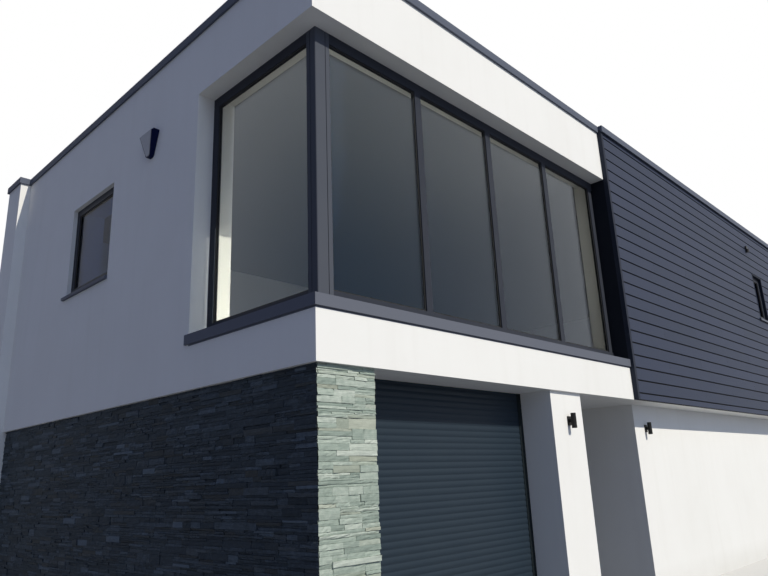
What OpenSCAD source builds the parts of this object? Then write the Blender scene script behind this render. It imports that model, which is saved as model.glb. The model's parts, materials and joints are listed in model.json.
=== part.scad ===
// Two-storey flat-roofed house: a white rendered box over a stone base, with a glazed corner,
// beside a volume clad in dark boards that overhangs a rendered ground floor.
// Millimetres, +Z up, +X along the front to the right, +Y towards the back.
// The sizes below count from the front left corner of the rendered box at ground level.
// The origin of the model is at the centre of the footprint, on the ground.

/* [House] */
// Length of the front
house_len = 13300; // [11600:50:16000]
// Depth from front to back
house_depth = 7000; // [6400:50:9000]
// Thickness of the outer walls
wall_t = 400; // [300:10:450]
// Length of the rendered box, up to the clad volume
render_len = 4990; // [4600:10:5400]
// Width of the pier at the rear left corner, seen from the back
corner_pier_w = 540; // [450:10:700]
// Depth of that pier
corner_pier_d = 500; // [420:10:700]
// How far it stands out of the left face
corner_pier_proud = 140; // [80:10:250]

/* [Levels] */
// Underside of the upper floor above the ground
soffit_z = 2305; // [2200:5:2600]
// Thickness of the upper floor with its edge band
floor_t = 385; // [300:5:450]
// Height of the upper rooms, from that floor to the ceiling
room_h = 2610; // [2400:10:2900]
// Distance from the ceiling down to the head of the corner window
head_drop = 92; // [40:2:200]
// Thickness of the roof deck
roof_t = 300; // [200:10:400]
// Thickness of the roof's membrane
membrane_t = 12; // [5:1:40]
// Height of the parapet walls above the roof deck, without their coping
parapet_h = 325; // [200:5:900]
// Thickness of the ground slab
slab_t = 100; // [80:10:200]
// Joint between slabs, and between lengths of coping or sill
joint = 2; // [2:1:4]

/* [Ground floor] */
// How far the upper render stands out over the stone and the pier
overhang = 37; // [20:1:60]
// Thickness of the stone facing
stone_t = 48; // [35:1:70]
// Right edge of the stone beside the garage
stone_end = 600; // [500:10:800]
// Width of the garage opening
garage_w = 2513; // [2300:1:2600]
// Width of the pier between garage and entrance
pier_w = 610; // [450:10:750]
// Width of the entrance recess
entrance_w = 1842; // [1600:1:2100]
// Depth of the recess behind the front, up to the door
entrance_depth = 1400; // [1100:50:2000]
// Thickness of the wall between garage and recess
recess_wall_t = 300; // [200:10:400]
// How far the ground floor stands back under the clad volume
ground_setback = 300; // [200:10:390]

/* [Cladding] */
// Thickness of the boarding, and how far it stands proud of the render
clad_t = 49; // [35:1:70]
// Width of the corner trims, seen from the front
trim_w = 50; // [40:1:70]
// How far the trims stand proud of the boarding
trim_proud = 8; // [4:1:15]
// Thickness of the dark lining on the clad end of the window recess
flank_t = 40; // [20:5:60]
// Thickness of the plaster lining on the inside of the wall behind the boards
inner_lining_t = 50; // [20:5:80]

/* [Coping] */
// Height of the coping's face
coping_face = 90; // [60:5:120]
// Thickness of the coping over the wall
coping_t = 60; // [30:5:80]
// How far it stands out past what it covers
coping_over = 25; // [15:1:50]
// Clearance between the coping's lips and the wall
coping_gap = 3; // [1:1:6]

/* [Corner window] */
// Depth of the recess in front of the frames
recess = 178; // [120:1:200]
// Where the opening ends on the left face
left_end = 1737; // [1400:1:2400]
// Depth of the frames
frame_d = 60; // [54:1:90]
// Width of the mullions
mullion_w = 86; // [60:1:100]
// Width of the left jamb
jamb_w = 86; // [60:1:100]
// How far the inner lining of the left reveal covers the back of that jamb
lining_t = 40; // [10:1:60]
// Visible width of the right jamb
end_jamb_w = 80; // [60:1:100]
// Width of the packer between the right jamb and the clad end
packer_w = 37; // [10:1:50]
// How far the packer lies behind the jamb's face
packer_back = 20; // [5:1:30]
// Width of the corner post on the front
post_front = 156; // [110:1:180]
// Width of the corner post on the left face
post_side = 117; // [100:1:160]
// Width of the strip beside the post's cover, with its groove, on either face
cover_margin = 48; // [30:1:60]
// Width of the groove between the cover and that strip
cover_groove = 6; // [3:1:10]
// Depth of that groove
cover_groove_d = 8; // [3:1:12]
// Radius of the cover's outer edge
cover_r = 10; // [5:1:14]
// Height of the head frame
head_h = 102; // [70:1:130]
// Height of the bottom frame
foot_h = 76; // [60:1:140]
// Distance from one mullion to the next
pane_pitch = 1148; // [1050:1:1200]
// Number of panes on the front
panes = 4; // [3:1:4]
// How far the glass lies behind the frames' face
glass_back = 16; // [8:1:20]
// Thickness of the glazing unit
glass_t = 28; // [20:1:32]
// How deep the glass sits in its groove
groove = 15; // [8:1:20]

/* [Corner sill] */
// Height of the sill's face
sill_face = 91; // [60:1:130]
// Rise of the sill's top from the face to the frames
sill_fall = 36; // [15:1:60]
// How far the sill stands out of the render
sill_proud = 20; // [10:1:40]
// How far the sill runs past the left reveal
sill_ear = 45; // [15:1:60]
// Clearance between the sill's face and the band's top
sill_drip = 13; // [2:1:20]

/* [Small windows] */
// Width of the square windows
square_w = 1143; // [700:1:1250]
// Height of the square windows
square_h = 1125; // [800:5:1250]
// Height of their sills above the upper floor
upper_sill_h = 1100; // [900:10:1200]
// Height of their sills above the ground
lower_sill_h = 900; // [800:10:1000]
// Centre of the window in the left face, from the front
left_window_y = 4130; // [3600:10:4800]
// Centre of the narrow window in the boarding, from the right end
slot_from_end = 2105; // [1000:5:4000]
// Width of the narrow window
slot_w = 510; // [400:10:700]
// Height of the narrow window
slot_h = 865; // [700:5:1000]
// Height of its sill above the upper floor
slot_sill_h = 1460; // [1200:10:1600]
// Number of windows in each row at the back of the clad volume
rear_count = 3; // [1:1:4]
// Depth of the reveals in front of these frames
reveal = 50; // [30:1:120]
// Width of these frames
small_frame = 80; // [45:1:100]
// How far the small sills stand out
small_sill_proud = 31; // [20:1:70]
// How far the small sills run past the opening on each side
small_sill_ear = 84; // [10:1:120]
// Height of the small sills' face
small_sill_face = 40; // [20:1:60]
// Rise of a small sill's top from the wall's face to the frame
small_sill_fall = 8; // [3:1:20]

/* [Garage shutter] */
// Height of one slat
slat_pitch = 55; // [45:1:80]
// How far a slat's face bulges
slat_bulge = 5; // [3:0.5:8]
// Height of the groove between slats
slat_gap = 6; // [4:0.5:10]
// Thickness of the curtain at the grooves
curtain_core = 9; // [6:0.5:14]
// Distance of the curtain behind the front
curtain_y = 400; // [350:5:410]
// Width of a guide rail
guide_w = 70; // [50:1:100]
// Depth of a guide rail
guide_d = 44; // [40:1:60]
// Thickness of the rail's lip in front of the slats
guide_lip = 3; // [2:1:8]
// Depth of the curtain's edge inside the rail
guide_grip = 40; // [20:1:60]
// Height of the bottom bar
bar_h = 85; // [60:1:110]
// Thickness of the bottom bar
bar_t = 24; // [18:1:30]

/* [Entrance] */
// Width of the door leaf
door_w = 1000; // [850:10:1100]
// Height of the frame above the door leaf
door_head = 155; // [60:5:250]
// Thickness of the door leaf
door_t = 68; // [50:1:80]
// Width of the frame members
door_frame = 70; // [50:1:90]
// Depth of the frame members
door_frame_d = 100; // [80:1:140]
// Height of the threshold
threshold_h = 30; // [15:1:60]
// Clearance round the leaf
door_gap = 0.5; // [0.3:0.1:0.8]
// Length of the pull handle
handle_len = 1200; // [600:10:1600]
// Radius of the pull handle
handle_r = 15; // [10:1:20]
// Distance from the leaf's face to the handle's axis
handle_reach = 60; // [45:1:80]
// Distance of the handle from the leaf's opening edge
handle_inset = 95; // [70:5:140]
// Distance of the handle's supports from its ends
handle_support = 150; // [80:10:250]
// Radius of the handle's supports
handle_support_r = 9; // [6:1:12]

/* [Wall lights] */
// Distance of the lights' middle below the upper floor
light_drop = 298; // [200:1:500]
// Distance of the pier's light from the recess
pier_light_from_recess = 295; // [150:1:450]
// Distance of the right light from the recess
light_from_recess = 320; // [200:10:600]
// Radius of a light's barrel
light_r = 27; // [22:1:40]
// Length of a light's barrel
light_len = 152; // [120:1:220]
// Distance from the wall to the barrel's axis
light_reach = 58; // [50:1:90]
// Depth of the wells at a barrel's ends
light_well = 14; // [8:1:30]
// Thickness of a barrel's wall
light_wall = 3; // [2:0.5:5]
// Width of a light's back plate
plate_w = 60; // [45:1:80]
// Height of a light's back plate
plate_h = 92; // [70:1:130]
// Thickness of a light's back plate
plate_t = 12; // [6:1:20]
// Width of the arm between plate and barrel
arm_w = 26; // [15:1:40]
// Height of that arm
arm_h = 34; // [20:1:60]

/* [Bell box] */
// Distance of the bell box behind the front
bell_y = 2655; // [2300:5:3000]
// Distance of its top below the parapet's top
bell_drop = 767; // [500:1:1200]
// Width of the bell box at its shoulders
bell_w = 274; // [180:2:320]
// Width of its foot
bell_foot_w = 110; // [70:2:160]
// Height of the bell box
bell_h = 295; // [220:1:340]
// Depth of the bell box at its shoulders
bell_d = 85; // [60:1:110]
// Depth of its foot
bell_foot_d = 45; // [30:1:60]
// Radius of its upper corners
bell_shoulder_r = 22; // [10:1:40]
// Radius of its lower corners
bell_foot_r = 42; // [20:1:50]
// Height of the bevel along its upper edge
bell_bevel = 30; // [10:1:50]
// Thickness of its front panel
bell_panel_t = 5; // [3:0.5:8]
// Width of the border round the panel
bell_border = 14; // [6:1:25]

/* [Sensor] */
// Distance of the sensor from the narrow window's centre
sensor_from_slot = 370; // [300:5:1500]
// Distance of the sensor's middle below the parapet's top
sensor_drop = 418; // [200:1:700]
// Width of the sensor's back box
sensor_w = 64; // [45:1:90]
// Height of the back box
sensor_box_h = 62; // [40:1:90]
// Depth of the back box
sensor_d = 34; // [25:1:60]
// Radius of the drum below it
drum_r = 28; // [20:1:40]
// Length of the drum
drum_len = 62; // [40:1:90]
// Width of the web that holds the drum
web_w = 24; // [12:1:40]

/* [Hidden] */
$fn = 48;
eps = 1;

render_white = "#f1f0ec";
anthracite = "#3b4048";
frame_grey = "#4a4e54";
slate_green = "#7d8b83";
shutter_grey = "#4b565e";

band_z = soffit_z + floor_t;
roof_z = band_z + room_h;
head_z = roof_z - head_drop;
parapet_z = roof_z + roof_t + parapet_h;
door_h = soffit_z - door_head - threshold_h;
sill_top = band_z + sill_drip + sill_face;
foot_z = sill_top + sill_fall;
core_back = overhang + wall_t;
pier_x = stone_end + garage_w;
recess_x = pier_x + pier_w;
wing_x = recess_x + entrance_w;
stone_back = overhang + stone_t;
inner_len = house_len - wall_t;
inner_depth = house_depth - wall_t;
coping_top = parapet_z + coping_t;
frame_back = recess + frame_d;
glass_front = recess + glass_back;
end_jamb_x = render_len - packer_w - end_jamb_w;
first_pane_x = recess + post_front;
corner_pier_y = house_depth - corner_pier_d;
trim_out = clad_t + trim_proud;
screen_back = entrance_depth + door_frame_d;
door_face = entrance_depth + (door_frame_d - door_t) / 2;
slot_x = house_len - slot_from_end;
light_z = soffit_z - light_drop;
bell_z = parapet_z - bell_drop - bell_h;

// Small windows: [side, centre along the wall, sill height, width, height, depth of facing]
upper_sill_z = band_z + upper_sill_h;
lower_sill_z = lower_sill_h;
rear_bay = (inner_len - render_len) / rear_count;
function square_window(side, along, z, facing) = [side, along, z, square_w, square_h, facing];
windows = concat(
    [
        square_window("left", left_window_y, upper_sill_z, 0),
        ["front", slot_x, band_z + slot_sill_h, slot_w, slot_h, clad_t],
        square_window("right", house_depth / 2, upper_sill_z, clad_t),
        square_window("right", house_depth / 2, lower_sill_z, 0),
        square_window("rear", (wall_t + render_len) / 2, upper_sill_z, 0)
    ],
    [for (i = [0 : rear_count - 1], z = [upper_sill_z, lower_sill_z])
        square_window("rear", render_len + (i + 0.5) * rear_bay, z, z == upper_sill_z ? clad_t : 0)]
);

// Moves the house from its front left corner to the centre of the footprint
module site() {
    translate([-house_len / 2, -house_depth / 2, 0]) children();
}

// Box from one corner to the opposite one
module block(low, high) {
    translate(low) cube(high - low);
}

// Puts a window's own frame on a wall: x along the wall, y into it, z up
module on_wall(side, along) {
    if (side == "front") translate([along, 0, 0]) children();
    if (side == "rear") translate([along, house_depth, 0]) rotate(180) children();
    if (side == "left") translate([0, along, 0]) rotate(-90) children();
    if (side == "right") translate([house_len, along, 0]) rotate(90) children();
}

// Cuts every opening of the small windows
module window_openings() {
    for (w = windows)
        on_wall(w[0], w[1])
            block([-w[3] / 2, -w[5] - eps, w[2]],
                  [w[3] / 2, wall_t + inner_lining_t + eps, w[2] + w[4]]);
}

// Outer faces of the parapet walls, grown sideways, up to the coping's bed
module parapets(grow) {
    low = band_z;
    block([-grow, -grow, low], [house_len + grow, wall_t + grow, parapet_z]);
    block([-grow, -grow, low], [wall_t + grow, house_depth, parapet_z]);
    block([-grow, inner_depth - grow, low], [house_len + grow, house_depth + grow, parapet_z]);
    block([inner_len - grow, -grow, low], [house_len + grow, house_depth, parapet_z]);
    block([-corner_pier_proud - grow, corner_pier_y - grow, low],
          [corner_pier_w - corner_pier_proud + grow, house_depth + grow, parapet_z]);
    block([render_len - grow, -trim_out - grow, low],
          [house_len + trim_out + grow, wall_t, parapet_z]);
    block([render_len - grow, inner_depth, low],
          [house_len + trim_out + grow, house_depth + trim_out + grow, parapet_z]);
    block([inner_len, -trim_out, low],
          [house_len + trim_out + grow, house_depth + trim_out, parapet_z]);
}

module ground_slab() {
    color("#9b9a96") {
        block([wall_t, core_back, 0], [recess_x - recess_wall_t, inner_depth, slab_t]);
        block([recess_x - recess_wall_t + joint, screen_back, 0],
              [wing_x + wall_t - joint, inner_depth, slab_t]);
        block([wing_x + wall_t, ground_setback + wall_t, 0], [inner_len, inner_depth, slab_t]);
    }
}

module lower_left_wall() {
    color(render_white)
        block([stone_back, stone_back, 0], [wall_t, corner_pier_y, soffit_z]);
}

module stone_facing_left() {
    color(slate_green)
        block([overhang, stone_back, 0], [stone_back, corner_pier_y, soffit_z]);
}

module stone_facing_front() {
    color(slate_green) block([overhang, overhang, 0], [stone_end, stone_back, soffit_z]);
}

module garage_piers() {
    color(render_white) {
        block([wall_t, stone_back, 0], [stone_end, core_back, soffit_z]);
        block([pier_x, overhang, 0], [recess_x, core_back, soffit_z]);
    }
}

module recess_walls() {
    color(render_white) {
        block([recess_x - recess_wall_t, core_back, 0], [recess_x, screen_back, soffit_z]);
        block([wing_x, ground_setback + wall_t, 0], [wing_x + wall_t, screen_back, soffit_z]);
    }
}

module lower_front_wall() {
    color(render_white)
        block([wing_x, ground_setback, 0], [inner_len, ground_setback + wall_t, soffit_z]);
}

module lower_right_wall() {
    color(render_white) difference() {
        block([inner_len, ground_setback, 0], [house_len, inner_depth, soffit_z]);
        window_openings();
    }
}

module rear_wall() {
    color(render_white) difference() {
        block([corner_pier_w - corner_pier_proud, inner_depth, 0],
              [house_len, house_depth, parapet_z]);
        window_openings();
    }
}

module rear_corner_pier() {
    color(render_white)
        block([-corner_pier_proud, corner_pier_y, 0],
              [corner_pier_w - corner_pier_proud, house_depth, parapet_z]);
}

module upper_floor() {
    color("#c9c6bf") block([wall_t, wall_t, soffit_z], [inner_len, inner_depth, band_z]);
}

module front_band() {
    color(render_white) block([0, 0, soffit_z], [render_len, wall_t, band_z]);
}

module left_band() {
    color(render_white) block([0, wall_t, soffit_z], [wall_t, left_end, band_z]);
}

module front_fascia() {
    color(render_white) block([0, 0, head_z], [render_len, wall_t, parapet_z]);
}

module left_fascia() {
    color(render_white) block([0, wall_t, head_z], [wall_t, left_end, parapet_z]);
}

// The wall behind the corner window, with its lining behind the left jamb
module upper_left_wall() {
    color(render_white) difference() {
        union() {
            block([0, left_end, soffit_z], [wall_t, corner_pier_y, parapet_z]);
            block([frame_back, left_end - lining_t, band_z], [wall_t, left_end + eps, head_z]);
        }
        window_openings();
    }
}

// The wall behind the boards, with its plaster lining on the inside
module upper_front_wall() {
    color(render_white) difference() {
        union() {
            block([render_len, 0, soffit_z], [house_len, wall_t, parapet_z]);
            block([render_len, wall_t - eps, band_z],
                  [inner_len, wall_t + inner_lining_t, roof_z]);
        }
        block([render_len - eps, -eps, band_z], [render_len + flank_t, frame_back, head_z]);
        window_openings();
    }
}

module upper_right_wall() {
    color(render_white) difference() {
        block([inner_len, wall_t, soffit_z], [house_len, inner_depth, parapet_z]);
        window_openings();
    }
}

module cladding_front() {
    color(anthracite) difference() {
        block([render_len + trim_w, -clad_t, soffit_z], [house_len, 0, parapet_z]);
        window_openings();
    }
}

module cladding_sides() {
    color(anthracite) difference() {
        union() {
            block([house_len, 0, soffit_z], [house_len + clad_t, house_depth, parapet_z]);
            block([render_len + trim_w, house_depth, soffit_z],
                  [house_len - joint, house_depth + clad_t, parapet_z]);
        }
        window_openings();
    }
}

module cladding_flank() {
    color(anthracite)
        block([render_len, 0, band_z], [render_len + flank_t, frame_back, head_z]);
}

module cladding_trims() {
    color(anthracite) {
        block([render_len, -trim_out, soffit_z], [render_len + trim_w, 0, parapet_z]);
        block([house_len, -trim_out, soffit_z], [house_len + trim_out, 0, parapet_z]);
        block([house_len, house_depth, soffit_z],
              [house_len + trim_out, house_depth + trim_out, parapet_z]);
        block([render_len, house_depth, soffit_z],
              [render_len + trim_w, house_depth + trim_out, parapet_z]);
    }
}

module roof_deck() {
    color("#8b8d90")
        block([wall_t, wall_t, roof_z], [inner_len, inner_depth, roof_z + roof_t]);
}

module roof_membrane() {
    top = roof_z + roof_t;
    color("#5b5e61")
        block([wall_t, wall_t, top], [inner_len, inner_depth, top + membrane_t]);
}

// One length of coping: a cap with lips that drop outside the wall, cut to sit on the parapets
module coping_length(low, high) {
    difference() {
        block([low[0], low[1], coping_top - coping_face], [high[0], high[1], coping_top]);
        parapets(coping_gap);
    }
}

module coping_rendered() {
    out = coping_over;
    color(anthracite) {
        coping_length([-out, -out], [render_len - joint, wall_t + out]);
        coping_length([-out, wall_t + out + joint], [wall_t + out, corner_pier_y - out - joint]);
        coping_length([-corner_pier_proud - out, corner_pier_y - out],
                      [corner_pier_w - corner_pier_proud + out, house_depth + out]);
        coping_length([corner_pier_w - corner_pier_proud + out + joint, inner_depth - out],
                      [render_len - joint, house_depth + out]);
    }
}

module coping_clad() {
    out = trim_out + coping_over;
    color(anthracite) {
        coping_length([render_len, -out], [house_len + out, wall_t + coping_over]);
        coping_length([inner_len - coping_over, wall_t + coping_over + joint],
                      [house_len + out, inner_depth - coping_over - joint]);
        coping_length([render_len, inner_depth - coping_over],
                      [house_len + out, house_depth + out]);
    }
}

// Section of the pressed sill, x outwards from the frames' face: a deep face with a drip, a
// sloping top, and a bed under the frames
module sill_section() {
    polygon([
        [-frame_d, band_z], [recess, band_z], [recess, band_z + sill_drip],
        [recess + sill_proud, band_z + sill_drip], [recess + sill_proud, sill_top],
        [0, foot_z], [-frame_d, foot_z]
    ]);
}

// The sill runs round the corner, mitred with an open joint
module corner_sill() {
    side_len = left_end + sill_ear;
    reach = 3 * wall_t;
    color(frame_grey) {
        difference() {
            translate([-sill_proud, recess, 0]) rotate([90, 0, 90])
                linear_extrude(render_len + sill_proud) mirror([1, 0]) sill_section();
            rotate(45) block([-reach, -joint / 2, 0], [reach, reach, head_z]);
        }
        difference() {
            translate([recess, side_len, 0]) rotate([90, 0, 0])
                linear_extrude(side_len + sill_proud) mirror([1, 0]) sill_section();
            rotate(45) block([-reach, -reach, 0], [reach, joint / 2, head_z]);
            block([-eps, left_end, 0], [wall_t, side_len + eps, head_z]);
        }
    }
}

// Section of the corner post: a cover with a rounded edge, and a shadow groove on either face
module post_section() {
    difference() {
        union() {
            translate([cover_r, cover_r]) circle(cover_r);
            translate([cover_r, 0]) square([post_front - cover_r, post_side]);
            translate([0, cover_r]) square([post_front, post_side - cover_r]);
        }
        translate([post_front - cover_margin, -eps])
            square([cover_groove, cover_groove_d + eps]);
        translate([-eps, post_side - cover_margin])
            square([cover_groove_d + eps, cover_groove]);
    }
}

// Post at the glazed corner, grooved for the glass on both sides
module corner_post() {
    color(frame_grey) difference() {
        translate([recess, recess, foot_z]) linear_extrude(head_z - foot_z) post_section();
        block([recess + post_front - groove, glass_front, foot_z + foot_h - groove],
              [recess + post_front + eps, glass_front + glass_t, head_z - head_h + groove]);
        block([glass_front, recess + post_side - groove, foot_z + foot_h - groove],
              [glass_front + glass_t, recess + post_side + eps, head_z - head_h + groove]);
    }
}

// Space taken by the glazing of the corner window, as one sheet on each face
module glazing_sheets() {
    block([first_pane_x - groove, glass_front, foot_z + foot_h - groove],
          [end_jamb_x + groove, glass_front + glass_t, head_z - head_h + groove]);
    block([glass_front, recess + post_side - groove, foot_z + foot_h - groove],
          [glass_front + glass_t, left_end - jamb_w + groove, head_z - head_h + groove]);
}

// Head bars and foot bars of both faces
module corner_window_rails() {
    color(frame_grey) difference() {
        for (z = [[foot_z, foot_z + foot_h], [head_z - head_h, head_z]]) {
            block([first_pane_x, recess, z[0]], [render_len, frame_back, z[1]]);
            block([recess, recess + post_side, z[0]], [frame_back, left_end, z[1]]);
        }
        glazing_sheets();
    }
}

module corner_window_mullions() {
    low = foot_z + foot_h;
    high = head_z - head_h;
    color(frame_grey) difference() {
        union() {
            for (i = [1 : panes - 1]) {
                x = end_jamb_x - i * pane_pitch;
                block([x, recess, low], [x + mullion_w, frame_back, high]);
            }
            block([end_jamb_x, recess, low], [end_jamb_x + end_jamb_w, frame_back, high]);
            block([end_jamb_x + end_jamb_w, recess + packer_back, low],
                  [render_len, frame_back, high]);
            block([recess, left_end - jamb_w, low], [frame_back, left_end, high]);
        }
        corner_panes();
    }
}

// The panes of the corner window, with their edges in the grooves
module corner_panes() {
    low = foot_z + foot_h - groove;
    high = head_z - head_h + groove;
    for (i = [1 : panes]) {
        left = i == panes ? first_pane_x : end_jamb_x - i * pane_pitch + mullion_w;
        right = end_jamb_x - (i - 1) * pane_pitch;
        block([left - groove, glass_front, low], [right + groove, glass_front + glass_t, high]);
    }
    block([glass_front, recess + post_side - groove, low],
          [glass_front + glass_t, left_end - jamb_w + groove, high]);
}

module corner_glass() {
    color("#8fa3b0", 0.5) corner_panes();
}

module window_frames() {
    color(anthracite) for (w = windows) {
        x = w[3] / 2;
        y = reveal - w[5];
        on_wall(w[0], w[1]) difference() {
            block([-x, y, w[2]], [x, y + frame_d, w[2] + w[4]]);
            block([-x + small_frame, y - eps, w[2] + small_frame],
                  [x - small_frame, y + frame_d + eps, w[2] + w[4] - small_frame]);
            small_pane(w);
        }
    }
}

// Pane of a small window, with its edges in the frame's groove
module small_pane(w) {
    x = w[3] / 2 - small_frame + groove;
    y = reveal - w[5] + glass_back;
    block([-x, y, w[2] + small_frame - groove],
          [x, y + glass_t, w[2] + w[4] - small_frame + groove]);
}

module window_glass() {
    color("#8fa3b0", 0.5) for (w = windows) on_wall(w[0], w[1]) small_pane(w);
}

// Pressed sill under a small window: a wedge in the reveal, and a nose with ears outside it.
// The one in the left face has an ear at its rear end alone.
module window_sills() {
    nose = [[-small_sill_proud, -small_sill_face], [0, -small_sill_face], [0, 0],
            [-small_sill_proud, -small_sill_fall * small_sill_proud / reveal]];
    color(anthracite) for (w = windows) {
        ears = w[0] == "left" ? 1 : 2;
        on_wall(w[0], w[1]) translate([-w[3] / 2, -w[5], w[2]]) rotate([90, 0, 90]) {
            linear_extrude(w[3]) polygon([[0, 0], [reveal, 0], [reveal, small_sill_fall]]);
            translate([0, 0, -small_sill_ear])
                linear_extrude(w[3] + ears * small_sill_ear) polygon(nose);
        }
    }
}

// Section of one slat: an arc standing out of the curtain's core
module slat_section() {
    half = (slat_pitch - slat_gap) / 2;
    radius = (half * half + slat_bulge * slat_bulge) / (2 * slat_bulge);
    intersection() {
        translate([radius - slat_bulge, 0]) circle(radius, $fn = 96);
        translate([-slat_bulge - eps, -half]) square([slat_bulge + curtain_core, 2 * half]);
    }
}

// Curtain of interlocking slats, hanging from the soffit to the bottom bar
module shutter_curtain() {
    left = stone_end + guide_w - guide_grip;
    width = garage_w - 2 * (guide_w - guide_grip);
    count = floor((soffit_z - bar_h) / slat_pitch);
    color(shutter_grey) translate([left, curtain_y, 0])
        rotate([90, 0, 90]) linear_extrude(width) {
            translate([0, bar_h]) square([curtain_core, soffit_z - bar_h]);
            for (i = [0 : count - 1])
                translate([0, bar_h + (i + 0.5) * slat_pitch]) slat_section();
        }
}

// Guide rails: channels that hold the curtain's edges
module shutter_guides() {
    y = curtain_y - slat_bulge - guide_lip;
    color(shutter_grey) for (side = [0, 1]) {
        x = side == 0 ? stone_end : pier_x - guide_w;
        difference() {
            block([x, y, 0], [x + guide_w, y + guide_d, soffit_z]);
            translate([stone_end + guide_w - guide_grip, 0, -eps])
                block([0, curtain_y - slat_bulge, 0],
                      [garage_w - 2 * (guide_w - guide_grip), curtain_y + bar_t, soffit_z + 2 * eps]);
        }
    }
}

module shutter_bottom_bar() {
    left = stone_end + guide_w - guide_grip;
    color(shutter_grey)
        block([left, curtain_y - slat_bulge, 0],
              [left + garage_w - 2 * (guide_w - guide_grip), curtain_y - slat_bulge + bar_t, bar_h]);
}

// Frame of the entrance: a doorway beside a tall side light
module entrance_frame() {
    door_x = recess_x + door_frame;
    side_x = door_x + door_w + door_frame;
    color(anthracite) difference() {
        block([recess_x, entrance_depth, 0], [wing_x, screen_back, soffit_z]);
        block([door_x, entrance_depth - eps, threshold_h],
              [door_x + door_w, screen_back + eps, threshold_h + door_h]);
        block([side_x, entrance_depth - eps, threshold_h + door_frame],
              [wing_x - door_frame, screen_back + eps, threshold_h + door_h]);
        side_light();
    }
}

// Glass of the side light, with its edges in the frame's groove
module side_light() {
    side_x = recess_x + 2 * door_frame + door_w;
    y = entrance_depth + glass_back;
    block([side_x - groove, y, threshold_h + door_frame - groove],
          [wing_x - door_frame + groove, y + glass_t, threshold_h + door_h + groove]);
}

module entrance_glass() {
    color("#8fa3b0", 0.5) side_light();
}

module entrance_door() {
    x = recess_x + door_frame;
    color(anthracite)
        block([x + door_gap, door_face, threshold_h + door_gap],
              [x + door_w - door_gap, door_face + door_t, threshold_h + door_h - door_gap]);
}

// Long pull handle on two supports
module door_handle() {
    z = threshold_h + door_h / 2;
    color("#b9bcc0") translate([recess_x + door_frame + door_w - handle_inset, door_face, z]) {
        translate([0, -handle_reach, -handle_len / 2]) cylinder(r = handle_r, h = handle_len);
        for (side = [-1, 1])
            translate([0, 0, side * (handle_len / 2 - handle_support)])
                rotate([90, 0, 0]) cylinder(r = handle_support_r, h = handle_reach);
    }
}

// Up and down light: a back plate, an arm and a barrel with a well at each end
module wall_light(x, wall_y) {
    translate([x, wall_y, light_z]) difference() {
        union() {
            block([-plate_w / 2, -plate_t, -plate_h / 2], [plate_w / 2, 0, plate_h / 2]);
            block([-arm_w / 2, -light_reach, -arm_h / 2], [arm_w / 2, -plate_t / 2, arm_h / 2]);
            translate([0, -light_reach, -light_len / 2]) cylinder(r = light_r, h = light_len);
        }
        for (z = [-light_len / 2 - eps, light_len / 2 - light_well])
            translate([0, -light_reach, z])
                cylinder(r = light_r - light_wall, h = light_well + eps);
    }
}

module wall_lights() {
    color("#1d1e20") {
        wall_light(recess_x - pier_light_from_recess, overhang);
        wall_light(wing_x + light_from_recess, ground_setback);
    }
}

// Outline of the bell box, from the front: square shoulders and sides that taper to the foot
module bell_outline(inset) {
    offset(delta = -inset) hull() for (side = [-1, 1]) {
        translate([side * (bell_w / 2 - bell_shoulder_r), bell_h - bell_shoulder_r])
            circle(bell_shoulder_r, $fn = 24);
        translate([side * (bell_foot_w / 2 - bell_foot_r), bell_foot_r])
            circle(bell_foot_r, $fn = 32);
    }
}

// Section of the bell box, from the side: deepest under the bevel, shallow at the foot
module bell_section(depth_add) {
    polygon([
        [0, -eps], [bell_foot_d + depth_add, -eps], [bell_d + depth_add, bell_h - bell_bevel],
        [bell_d - bell_bevel + depth_add, bell_h + eps], [0, bell_h + eps]
    ]);
}

// Body of the bell box within the given inset, up to the given depth past its face
module bell_form(inset, depth_add) {
    intersection() {
        rotate([90, 0, -90]) linear_extrude(bell_d + eps + depth_add) bell_outline(inset);
        translate([0, bell_w, 0]) rotate([90, 0, 0]) mirror([1, 0, 0])
            linear_extrude(2 * bell_w) bell_section(depth_add);
    }
}

module bell_box() {
    color("#27408c") translate([0, bell_y, bell_z]) bell_form(0, 0);
}

module bell_box_panel() {
    color("#d9dcdf") translate([0, bell_y, bell_z]) difference() {
        bell_form(bell_border, bell_panel_t);
        bell_form(0, 0);
    }
}

// Small sensor on the boarding: a back box with a drum that hangs below it on a web
module wall_sensor() {
    color("#1d1e20") translate([slot_x - sensor_from_slot, -clad_t, parapet_z - sensor_drop]) {
        block([-sensor_w / 2, -sensor_d, 0], [sensor_w / 2, 0, sensor_box_h]);
        translate([0, -sensor_d, -drum_len]) cylinder(r = drum_r, h = drum_len + eps);
        block([-web_w / 2, -sensor_d, -drum_len], [web_w / 2, 0, eps]);
    }
}

site() ground_slab();
site() lower_left_wall();
site() stone_facing_left();
site() stone_facing_front();
site() garage_piers();
site() recess_walls();
site() lower_front_wall();
site() lower_right_wall();
site() rear_wall();
site() rear_corner_pier();
site() upper_floor();
site() front_band();
site() left_band();
site() front_fascia();
site() left_fascia();
site() upper_left_wall();
site() upper_front_wall();
site() upper_right_wall();
site() cladding_front();
site() cladding_sides();
site() cladding_flank();
site() cladding_trims();
site() roof_deck();
site() roof_membrane();
site() coping_rendered();
site() coping_clad();
site() corner_sill();
site() corner_post();
site() corner_window_rails();
site() corner_window_mullions();
site() corner_glass();
site() window_frames();
site() window_glass();
site() window_sills();
site() shutter_curtain();
site() shutter_guides();
site() shutter_bottom_bar();
site() entrance_frame();
site() entrance_door();
site() door_handle();
site() entrance_glass();
site() wall_lights();
site() bell_box();
site() bell_box_panel();
site() wall_sensor();
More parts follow.
